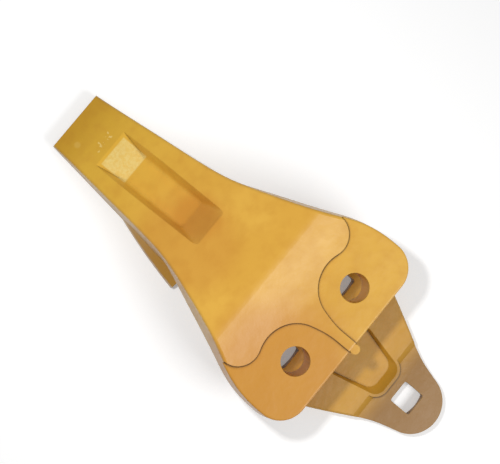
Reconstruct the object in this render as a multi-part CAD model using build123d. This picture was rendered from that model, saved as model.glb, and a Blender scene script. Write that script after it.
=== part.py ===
"""Bolt-on bucket tooth: one steel casting that straddles the lip of a loader bucket.

Millimetres. X runs to the tip, Y to the left and Z up. The origin is midway
between the two deck bolt holes, on the face of the nut pads.
"""
import math
import os

from build123d import *

# Bolting: two plough bolts through deck and leg, and one more through the tail.
bolt_pitch = 90.0
deck_hole_d = 29.0
square_hole = 25.0
square_corner_r = 2.0
bolt_head_d = 42.0
bolt_head_depth = 9.0
tail_bolt_back = 134.5

# Jaw: deck plate, slot for the bucket lip and leg plate, one under the other.
deck_thick = 28.5
lip_slot = 36.5
leg_thick = 17.0
slot_front = 127.0
slot_corner_r = 7.0

# Top edge of the flanks, from the tip back to the widest part of the deck.
tip_reach = 305.0
tip_width = 64.5
nose_mid_reach = 232.0
nose_mid_width = 78.0
root_reach = 172.0
root_width = 91.5
waist_reach = 122.0
waist_width = 116.0
flare_reach = 62.0
flare_width = 166.5
deck_width = 202.0
deck_back = 34.7
deck_corner_r = 28.0

# Top surface along the centre line, measured from the face of the nut pads.
tip_drop = 67.0
nose_mid_drop = 35.5
root_drop = 14.5
waist_rise = 2.0
crest_reach = 77.0
crest_rise = 11.0
saddle_reach = 38.0
saddle_rise = 4.0
ridge_rise = 2.5
tip_thick = 9.0
tip_heel = 17.0

# Slope of the flanks, as the casting leaves its mould.
nose_draft_deg = 3.0
deck_overhang = 5.4
root_front_width = 111.0

# Rear edge of the raised body: it clears each nut and runs out in a middle ridge.
nut_clear_r = 36.8
shoulder_r = 21.4
shoulder_reach = 54.3
ridge_width = 10.0
ridge_nub = 2.5
ridge_nub_depth = 13.0

# Recess along the top of the nose.
trough_tip_gap = 45.0
trough_back = 143.0
trough_width = 41.0
trough_depth = 12.5
trough_wall = 5.5
trough_ramp = 29.0
trough_end = 20.0
trough_corner_r = 5.0

# Stub of the casting's feeder on the left of the nose root, level with the sole.
stub_start_share = 0.7
stub_mid_reach = 177.0
stub_mid_width = 54.2
stub_width = 66.5
stub_edge = 12.0
stub_draft = 1.5
stub_rise = 22.0

# Leg under the bucket floor: two lands, a relief pocket between them and a tail.
leg_front_width = 108.0
leg_wide_reach = 8.0
leg_wide = 182.0
leg_mid_back = 80.0
leg_mid_width = 121.0
leg_neck_back = 118.0
leg_neck_width = 83.5
tail_r = 33.5
tail_back = 174.5
tail_angle_deg = 14.0
land_back = 99.0
land_slope = 7.0
tail_step = 4.5
pocket_front = 100.0
pocket_width = 58.8
pocket_taper_back = 57.0
pocket_back = 108.5
pocket_back_width = 36.0
pocket_corner_r = 12.0
pocket_depth = 6.0
pocket_side_deg = 18.0
pocket_ramp = 8.5
pocket_rim = 3.0

# Softened cast edges.
crest_r = 25.0
flank_edge_r = 3.0
pad_edge_r = 2.0
leg_edge = 2.0

bolt_y = bolt_pitch / 2
deck_under = -deck_thick
leg_face = deck_under - lip_slot
sole = leg_face - leg_thick
draft = math.tan(math.radians(nose_draft_deg))
head_room = 20.0


def symmetric_face(left_edges, z):
    """Face bounded by edges on the left of the centre line and their mirror image."""
    lifted = [Pos(0, 0, z) * edge for edge in left_edges]
    mirrored = [edge.mirror(Plane.XZ) for edge in lifted]
    ends = [end for end in (lifted[0] @ 0, lifted[-1] @ 1) if end.Y > square_corner_r]
    caps = [Line(end, Vector(end.X, -end.Y, end.Z)) for end in ends]
    return make_face(Wire(lifted + mirrored + caps).edges())


def both_sides(shape):
    """The shape and its mirror image across the centre line."""
    return shape + shape.mirror(Plane.XZ)


def side_prism(points, half_width):
    """Block across the tooth whose side view is the given outline."""
    edge = [(x, -half_width, z) for x, z in points]
    return extrude(make_face(Polyline(*edge, close=True)), 2 * half_width, dir=(0, 1, 0))


def nose_flank(z):
    """Left flank of the nose at height z, from the tip to the root."""
    def out(width, top):
        return width / 2 + draft * (top - z)
    tip = (tip_reach, out(tip_width, -tip_drop))
    middle = (nose_mid_reach, out(nose_mid_width, -nose_mid_drop))
    root = (root_reach, out(root_width, -root_drop))
    return Spline(tip, middle, root, tangents=[(-1, 0.09), (-1, 0.17)])


def deck_flank(z, overhang):
    """Left flank from the nose root round to the deck's rear edge, at height z."""
    waist = (waist_reach, waist_width / 2 + overhang)
    flare = (flare_reach, flare_width / 2 + overhang)
    widest = (deck_corner_r - deck_back, deck_width / 2 + overhang)
    corner_end = (-deck_back - overhang / 2, widest[1] - deck_corner_r)
    side = Spline(nose_flank(z) @ 1, waist, flare, widest, tangents=[(-1, 0.17), (-1, 0)])
    return [nose_flank(z), side, RadiusArc(widest, corner_end, -deck_corner_r)]


def root_flank(z):
    """Left flank of the nose and of its root, back into the slot's front corners."""
    nose = nose_flank(z)
    root_end = (slot_front - slot_corner_r, root_front_width / 2 - draft * (z - leg_face))
    return [nose, Spline(nose @ 1, root_end, tangents=[(-1, 0.17), (-1, 0.25)])]


# Upper plate (nose top, raised body and deck) over the root that fills the jaw's front.
upper = loft([
    symmetric_face(deck_flank(deck_under, deck_overhang), deck_under),
    symmetric_face(deck_flank(head_room, 0), head_room),
], ruled=True)
lower = loft([
    symmetric_face(root_flank(sole), sole),
    symmetric_face(root_flank(deck_under), deck_under),
], ruled=True)

# Side view of nose and body, cut through both.
ridge_back = deck_back + deck_overhang
top_line = Spline(
    (tip_reach, 0, -tip_drop), (nose_mid_reach, 0, -nose_mid_drop), (root_reach, 0, -root_drop),
    (waist_reach, 0, waist_rise), (crest_reach, 0, crest_rise),
    tangents=[(-1, 0, 0.47), (-1, 0, 0.08)])
back_line = Spline(
    (crest_reach, 0, crest_rise), (saddle_reach, 0, saddle_rise), (-ridge_back, 0, ridge_rise),
    tangents=[(-1, 0, -0.16), (-1, 0, 0)])
below = Polyline(
    (-ridge_back, 0, ridge_rise), (-ridge_back, 0, sole), (tip_reach - tip_heel, 0, sole),
    (tip_reach, 0, -tip_drop - tip_thick), (tip_reach, 0, -tip_drop))
side_view = make_face(top_line.edges() + back_line.edges() + below.edges())
body = (upper + lower) & extrude(Pos(0, -deck_width, 0) * side_view, 2 * deck_width,
                                 dir=(0, 1, 0))
body = fillet([edge for edge in body.edges().filter_by(Axis.Y)
               if edge.center().Z > (crest_rise + saddle_rise) / 2], crest_r)
body = fillet([edge for edge in body.edges()
               if abs(edge.center().Z - deck_under) > pad_edge_r
               and abs(edge.tangent_at(0.5).Z) < 0.7
               and abs(edge.center().Y) > tip_width / 4
               and edge.center().Z > sole + leg_thick / 2], flank_edge_r)

# Nut pads behind the body, each bounded by an arc about its bolt and the shoulder's arc.
nut = Vector(0, bolt_y)
shoulder = Vector(shoulder_reach, bolt_y + math.sqrt(
    (nut_clear_r + shoulder_r) ** 2 - shoulder_reach ** 2))
meet_deg = math.degrees(math.atan2(shoulder.Y - nut.Y, shoulder.X))
release_deg = -75.0
arc_nut = CenterArc(nut, nut_clear_r, release_deg, meet_deg - release_deg)
arc_shoulder = CenterArc(shoulder, shoulder_r, 90, meet_deg + 90)
run_out = Spline(arc_nut @ 0, (-nut_clear_r / 2, ridge_width / 2),
                 tangents=[(arc_nut % 0) * -1, (-1, 0)])
around = Polyline(run_out @ 1, (-deck_width, ridge_width / 2), (-deck_width, deck_width),
                  (shoulder_reach, deck_width), arc_shoulder @ 0)
pad_plan = make_face(arc_nut.edges() + arc_shoulder.edges() + run_out.edges() + around.edges())
rear_block = Pos(crest_reach - deck_width, 0, deck_under / 2) * Box(
    2 * deck_width, 2 * deck_width, deck_thick)
deck = upper & rear_block
deck = fillet([edge for edge in deck.edges() if abs(edge.center().Z) < 0.01
               and edge.geom_type == GeomType.BSPLINE], pad_edge_r)
pads = both_sides(extrude(Pos(0, 0, -2 * pad_edge_r) * pad_plan, head_room))
body = body - pads + deck
nub_r = ridge_width / 2
nub = Pos(nub_r - ridge_back - ridge_nub, 0, 0) * extrude(
    Circle(nub_r), ridge_nub_depth + ridge_rise - 0.4)
body += Pos(0, 0, -ridge_nub_depth) * nub

# Trough along the top of the nose: a ramp in front, sloped walls and a raised end.
def top_height(x):
    """Height of the top surface on the centre line at reach x."""
    stations = [(tip_reach, -tip_drop), (nose_mid_reach, -nose_mid_drop),
                (root_reach, -root_drop), (waist_reach, waist_rise), (crest_reach, crest_rise)]
    spans = zip(stations[:-1], stations[1:])
    (x0, z0), (x1, z1) = next(span for span in spans if x >= span[1][0])
    return z0 + (z1 - z0) * (x0 - x) / (x0 - x1)


def trough_ring(rise):
    """Outline of the trough at a share of its height: 0 at the floor, 1 at the mouth."""
    def blend(floor, mouth):
        return floor + (mouth - floor) * rise
    half = blend(trough_width / 2 - trough_wall, trough_width / 2)
    mouth_front = tip_reach - trough_tip_gap
    front = mouth_front - trough_ramp
    back = trough_back + trough_end
    front_x = blend(front, mouth_front)
    back_x = blend(back, trough_back)
    front_z = blend(top_height(front) - trough_depth, top_height(mouth_front))
    back_z = blend(top_height(back) - trough_depth, top_height(trough_back))
    return make_face(Polyline((front_x, -half, front_z), (front_x, half, front_z),
                              (back_x, half, back_z), (back_x, -half, back_z), close=True))


trough = loft([trough_ring(0), trough_ring(1.6)], ruled=True)
floor = trough.faces().sort_by_distance(trough_ring(0).center())[0]
rear_corners = [edge for edge in trough.edges()
                if edge.center().X < trough_back + trough_end / 2
                and abs(edge.center().Y) > trough_wall]
trough = fillet(floor.edges().sort_by(Axis.X)[:-1] + rear_corners, trough_corner_r)
body -= trough

# Stub of the feeder on the left of the root: an upright edge, then a slope to the flank.
def stub_plan(z, inset):
    """Outline of the stub at height z, closed inside the root."""
    start = nose_flank(z) @ stub_start_share - Vector(0, 1)
    middle = (stub_mid_reach, stub_mid_width - inset * 0.7)
    edge = Spline(start, middle, (slot_front, stub_width - inset))
    inner = Polyline(edge @ 1, (slot_front, 0), (start.X, 0), start)
    return Pos(0, 0, z) * make_face(edge.edges() + inner.edges())


stub_in = stub_width - root_front_width / 2 + 1
body += loft([stub_plan(sole, 0), stub_plan(sole + stub_edge, stub_draft),
              stub_plan(sole + stub_rise, stub_in)], ruled=True)

# Slot that takes the lip of the bucket, open behind and at both sides.
slot_mid = Pos(slot_front - deck_width, 0, (deck_under + leg_face) / 2)
slot = slot_mid * Box(2 * deck_width, 2 * deck_width, lip_slot)
body -= fillet(slot.edges().filter_by(Axis.Y).sort_by(Axis.X)[-2:], slot_corner_r)

# Leg plate with its rounded tail, which steps down behind the lands.
tail_x = tail_r - tail_back
edge_deg = 90 + tail_angle_deg
tail_arc = CenterArc((tail_x, 0), tail_r, edge_deg, 180 - edge_deg)
leg_side = Spline((slot_front + slot_corner_r, leg_front_width / 2),
                  (leg_wide_reach, leg_wide / 2), (-leg_mid_back, leg_mid_width / 2),
                  (-leg_neck_back, leg_neck_width / 2), tail_arc @ 0,
                  tangents=[(-1, 0.3), tail_arc % 0])


def leg_plate(thick):
    """Plate of the leg's outline on the sole, with its upper edge bevelled."""
    plate = extrude(symmetric_face([leg_side, tail_arc], sole), thick)
    top = plate.faces().sort_by(Axis.Z)[-1]
    return chamfer([edge for edge in top.edges() if edge.center().X < slot_front], leg_edge)


def pocket_ring(depth):
    """Outline of the relief pocket at a depth under the lands, sloped mostly at its rear."""
    side = depth * math.tan(math.radians(pocket_side_deg))
    half = pocket_width / 2 - side
    back = pocket_ramp * depth / pocket_depth - pocket_back
    back_half = pocket_back_width / 2 - side
    ring = make_face(Polyline(
        (pocket_front, half), (-pocket_taper_back, half), (back, back_half),
        (back, -back_half), (-pocket_taper_back, -half), (pocket_front, -half), close=True))
    return Pos(0, 0, leg_face - depth) * fillet(ring.vertices(), pocket_corner_r)


rim = extrude(offset(pocket_ring(0), pocket_rim), tail_step, both=True)
behind_lands = side_prism([
    (-land_back, leg_face), (-land_back - land_slope, leg_face - tail_step),
    (-tail_back - 1, leg_face - tail_step), (-tail_back - 1, leg_face + 1),
    (-land_back, leg_face + 1)], tail_r * 2)
leg = leg_plate(leg_thick) - behind_lands + leg_plate(leg_thick - tail_step)
leg += rim & extrude(Pos(0, 0, sole) * Rectangle(2 * deck_width, 2 * deck_width), leg_thick)
leg -= loft([pocket_ring(0).face(), pocket_ring(pocket_depth).face()], ruled=True)
tooth = body + leg

# Round holes for the nuts' washers in the deck, square ones for the bolt necks below.
for y in (-bolt_y, bolt_y):
    tooth -= Pos(0, y, deck_under / 2) * Cylinder(deck_hole_d / 2, 2 * deck_thick)
neck = extrude(RectangleRounded(square_hole, square_hole, square_corner_r), leg_thick)
head = Pos(0, 0, bolt_head_depth / 2) * Cone(bolt_head_d / 2, square_hole / 2, bolt_head_depth)
for x, y in ((0, -bolt_y), (0, bolt_y), (-tail_bolt_back, 0)):
    tooth -= Pos(x, y, sole) * (neck + head)

os.makedirs("parts", exist_ok=True)
export_step(tooth, "parts/tooth.step")
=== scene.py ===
import bpy
from mathutils import Matrix, Vector


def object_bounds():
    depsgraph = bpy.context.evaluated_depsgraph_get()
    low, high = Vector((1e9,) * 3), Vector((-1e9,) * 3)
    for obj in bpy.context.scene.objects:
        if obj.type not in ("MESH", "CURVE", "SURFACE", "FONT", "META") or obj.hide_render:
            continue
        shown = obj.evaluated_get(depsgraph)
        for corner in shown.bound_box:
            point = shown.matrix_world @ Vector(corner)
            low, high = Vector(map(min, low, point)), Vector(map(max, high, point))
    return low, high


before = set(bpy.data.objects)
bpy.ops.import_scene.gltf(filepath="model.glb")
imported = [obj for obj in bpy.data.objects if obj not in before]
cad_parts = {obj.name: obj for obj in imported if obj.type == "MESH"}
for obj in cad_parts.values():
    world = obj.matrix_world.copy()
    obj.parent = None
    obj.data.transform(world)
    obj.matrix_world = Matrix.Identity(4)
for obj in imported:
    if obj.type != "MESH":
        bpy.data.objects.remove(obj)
cad_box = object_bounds()


# The tooth: one steel casting, shaken out of sand, fettled and painted ochre.
# Painted shade darkens its corners, its leg, its tail and its left nut pad; its edges are
# rubbed, and a painted sheen lies on the ramp of the trough.
# The solid comes from the frame as it is, and this section makes its finish.
class Wire:
    """One output socket; arithmetic on it adds Math nodes to its material."""

    def __init__(self, finish, socket):
        self.finish = finish
        self.socket = socket

    def _math(self, operation, *values):
        return self.finish.node("ShaderNodeMath", {"operation": operation},
                                {i: v for i, v in enumerate(values)})

    def __add__(self, other):
        return self._math("ADD", self, other)

    def __radd__(self, other):
        return self._math("ADD", other, self)

    def __sub__(self, other):
        return self._math("SUBTRACT", self, other)

    def __rsub__(self, other):
        return self._math("SUBTRACT", other, self)

    def __mul__(self, other):
        return self._math("MULTIPLY", self, other)

    def __rmul__(self, other):
        return self._math("MULTIPLY", other, self)

    def __pow__(self, other):
        return self._math("POWER", self, other)

    def low(self, other):
        return self._math("MINIMUM", self, other)

    def high(self, other):
        return self._math("MAXIMUM", self, other)

    def step(self, start, end):
        """0 below start, 1 above end, smooth between; falls instead where end < start."""
        return self.finish.node("ShaderNodeMapRange", {"interpolation_type": "SMOOTHSTEP"},
                                {0: self, 1: start, 2: end, 3: 0.0, 4: 1.0})


class Finish:
    """A node material being written: node() adds a node and returns its first output."""

    def __init__(self, name):
        self.material = bpy.data.materials.new(name)
        self.material.use_nodes = True
        self.tree = self.material.node_tree
        self.tree.nodes.clear()

    def node(self, kind, settings, sockets, out=0):
        made = self.tree.nodes.new(kind)
        for name, value in settings.items():
            setattr(made, name, value)
        for key, value in sockets.items():
            if isinstance(value, Wire):
                self.tree.links.new(value.socket, made.inputs[key])
            else:
                made.inputs[key].default_value = value
        return Wire(self, made.outputs[out]) if made.outputs else None

    def mix(self, share, first, second, blend="MIX"):
        return self.node("ShaderNodeMix", {"data_type": "RGBA", "blend_type": blend},
                         {0: share, 6: first, 7: second}, out=2)

    def noise(self, place, scale, detail=2.0, rough=0.5, stretch=0.0):
        return self.node("ShaderNodeTexNoise", {}, {"Vector": place, "Scale": scale,
                         "Detail": detail, "Roughness": rough, "Distortion": stretch})


def srgb(red, green, blue):
    """A colour given as it looks on a screen, 0 to 255, as linear light."""
    def linear(part):
        part = part / 255
        return part / 12.92 if part <= 0.04045 else ((part + 0.055) / 1.055) ** 2.4
    return (linear(red), linear(green), linear(blue), 1.0)


paint = Finish("ochre_paint")
place = paint.node("ShaderNodeTexCoord", {}, {}, out=3)
split = paint.node("ShaderNodeSeparateXYZ", {}, {"Vector": place})
x, y, z = (Wire(paint, socket) * 1000 for socket in split.socket.node.outputs)


def near(at, reach):
    """1 around a point of the plan, fading to 0 at the reach; all in millimetres."""
    across = ((x - at[0]) ** 2.0 + (y - at[1]) ** 2.0) ** 0.5
    return across.step(reach, reach / 2)


def band(value, low, high, soft):
    """1 between two limits, fading over a soft margin; all in millimetres."""
    return value.step(low - soft, low) * value.step(high + soft, high)


# Casting skin: long waves left by the mould, sand grain and the peel of thick paint.
waves = paint.noise(place, 38, 2.0)
grain = paint.noise(place, 190, 3.0, 0.6)
peel = paint.noise(place, 430, 2.0, 0.5)
cloud = paint.noise(place, 16, 3.0)
mottle = paint.noise(place, 75, 3.0)

# Ochre with faint clouds in it, greener towards the tip.
fresh_ochre = srgb(230, 178, 72)
deep_ochre = srgb(222, 168, 64)
tip_ochre = srgb(216, 172, 48)
speck_ochre = srgb(206, 146, 50)
colour = paint.mix(cloud.step(0.35, 0.65), fresh_ochre, deep_ochre)
colour = paint.mix(x.step(150, 300) * 0.7, colour, tip_ochre)
colour = paint.mix(mottle.step(0.4, 0.75) * 0.3, colour, speck_ochre)

# Warmer round the rear of the trough, with a deeper orange spot at its corner; painted shade
# darkens the left nut pad.
warm_and_shade_ochre = srgb(204, 138, 52)
trough_corner_orange = srgb(200, 122, 36)
trough_rear = (150, 22)
left_pad = (5, 65)
trough_corner = (158, -2)
trough_warmth_and_pad_shade = near(trough_rear, 60) * 0.45 + near(left_pad, 95) * 0.75
colour = paint.mix(trough_warmth_and_pad_shade.low(1.0), colour, warm_and_shade_ochre)
colour = paint.mix(near(trough_corner, 28) * 0.35, colour, trough_corner_orange)

# Painted shade: browner and darker low down on the leg, darkest on its tail.
leg_shade_brown = srgb(188, 134, 24)
tail_shade_brown = srgb(132, 88, 12)
low_shade = z.step(-50, -66)
colour = paint.mix(low_shade * 0.55, colour, leg_shade_brown)
colour = paint.mix(low_shade * x.step(-90, -125) * 0.8, colour, tail_shade_brown)

# Front ramp of the trough: a pale, streaked painted sheen laid on as colour.
ramp_sheen_ochre = srgb(233, 208, 130)
ramp = band(x, 231, 258, 1.5) * band(y, -16, 16, 1.5) * (z + 40).step(-3, -6)
streaks = paint.noise(place, 300, 4.0, 0.7, 0.6)
ramp_painted_sheen = ramp * (0.45 + streaks.step(0.35, 0.65) * 0.4)
colour = paint.mix(ramp_painted_sheen, colour, ramp_sheen_ochre)

# Scuffs across the nose and small bright nicks.
bright_nick = srgb(238, 205, 120)
nose_scuff = (288, 17)
ramp_scuff = (256, 13)
scuff_line = band(x, 268, 274, 1.0) * band(y, -12, 16, 2.0)
nicks = paint.noise(place, 260, 2.0).step(0.56, 0.62)
scuffs = scuff_line * nicks + near(nose_scuff, 4) * 0.25 + near(ramp_scuff, 4) * nicks
colour = paint.mix((scuffs * 0.8).low(1.0), colour, bright_nick)

# Painted shade: corners where faces meet are darkened brown, and made rougher; outer edges are
# rubbed lighter.
corner_shade_brown = srgb(70, 34, 16)
rubbed_ochre = srgb(240, 200, 112)
corner = paint.node("ShaderNodeAmbientOcclusion", {"samples": 8, "only_local": True},
                    {"Distance": 0.006}, out=1)
corner_shade = corner.step(0.84, 0.6)
colour = paint.mix(corner_shade * 0.9, colour, corner_shade_brown)
edge = paint.node("ShaderNodeAmbientOcclusion", {"samples": 8, "only_local": True,
                  "inside": True}, {"Distance": 0.002}, out=1)
rub = edge.step(0.75, 0.45) * mottle.step(0.35, 0.6)
colour = paint.mix(rub * 0.2, colour, rubbed_ochre)

# Edges rounded as a casting's are, with the skin's relief over them.
edge_radius = 0.0012
relief_height = 0.0006
rounded = paint.node("ShaderNodeBevel", {"samples": 4}, {"Radius": edge_radius})
height = waves * 1.6 + grain * 0.30 + peel * (0.16 + ramp * 0.3)
relief = paint.node("ShaderNodeBump", {}, {"Strength": 1.0, "Distance": relief_height,
                    "Height": height, "Normal": rounded})
gloss = 0.34 + mottle * 0.14 + corner_shade * 0.25 - ramp * 0.05
surface = paint.node("ShaderNodeBsdfPrincipled", {}, {
    "Base Color": colour, "Roughness": gloss, "Normal": relief, "Specular IOR Level": 0.4,
    "Coat Weight": 0.3, "Coat Roughness": 0.3})
paint.node("ShaderNodeOutputMaterial", {}, {"Surface": surface})

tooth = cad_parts["tooth"]
tooth.data.materials.clear()
tooth.data.materials.append(paint.material)


# The floor: a plain pale table that the tooth lies on. The camera sees it as white, with
# the tooth's own weak shadow, and it throws less light back than it shows.
floor_size = 6.0
floor_mesh = bpy.data.meshes.new("floor")
low = cad_box[0][2]
half = floor_size / 2
floor_mesh.from_pydata([(-half, -half, low), (half, -half, low), (half, half, low),
                        (-half, half, low)], [], [(0, 1, 2, 3)])
floor = bpy.data.objects.new("floor", floor_mesh)
bpy.context.collection.objects.link(floor)
card = Finish("floor_card")
rays = card.node("ShaderNodeLightPath", {}, {}).socket.node.outputs
camera_ray, glossy_ray, through_ray = (
    Wire(card, rays[name]) for name in ("Is Camera Ray", "Is Glossy Ray", "Is Transmission Ray"))
card_grey = (0.3, 0.3, 0.3, 1)
card_white = (0.9, 0.9, 0.9, 1)
shadow_lift = 0.25
plain = card.node("ShaderNodeBsdfDiffuse", {}, {"Color": card_grey})
pale = card.node("ShaderNodeBsdfDiffuse", {}, {"Color": card_white})
lift = card.node("ShaderNodeEmission", {}, {"Color": (1, 1, 1, 1), "Strength": shadow_lift})
white = card.node("ShaderNodeAddShader", {}, {0: pale, 1: lift})
seen = camera_ray.high(glossy_ray).high(through_ray)
both = card.node("ShaderNodeMixShader", {}, {0: seen, 1: plain, 2: white})
card.node("ShaderNodeOutputMaterial", {}, {"Surface": both})
floor_mesh.materials.append(card.material)


# The light: a soft panel behind the tooth that makes the sheen behind its crest, a small
# lamp over the nose that no surface mirrors, and a pale room.
room_light = 0.25
room = bpy.data.worlds.new("room")
room.use_nodes = True
room.node_tree.nodes["Background"].inputs["Color"].default_value = (1, 1, 1, 1)
room.node_tree.nodes["Background"].inputs["Strength"].default_value = room_light
bpy.context.scene.world = room


def panel(name, place, aim, size, power):
    """A square soft lamp at a place, turned to its aim."""
    lamp = bpy.data.lights.new(name, "AREA")
    lamp.shape = "SQUARE"
    lamp.size = size
    lamp.energy = power
    stand = bpy.data.objects.new(name, lamp)
    stand.location = place
    stand.rotation_euler = (Vector(aim) - Vector(place)).to_track_quat("-Z", "Y").to_euler()
    bpy.context.collection.objects.link(stand)
    return stand


panel("rear_panel", (-0.82, -0.06, 0.95), (0.05, 0, 0), 0.55, 7.5)
overhead = panel("camera_lamp", (0.36, 0.03, 0.62), (0.16, 0, 0), 0.05, 2.5)
overhead.visible_glossy = False


# The camera stands where the photograph was taken, looking down at the tooth.
lens = bpy.data.cameras.new("camera")
lens.sensor_width = 36
lens.lens = 77.85
lens.shift_x = 0.01464
lens.shift_y = -0.00389
camera = bpy.data.objects.new("camera", lens)
camera.matrix_world = Matrix((
    (-0.757892, 0.636839, 0.141551, 0.262458),
    (-0.632903, -0.770371, 0.077215, 0.059864),
    (0.158220, -0.031067, 0.986915, 1.0),
    (0, 0, 0, 1)))
bpy.context.collection.objects.link(camera)
bpy.context.scene.camera = camera
bpy.context.scene.view_settings.view_transform = "Standard"
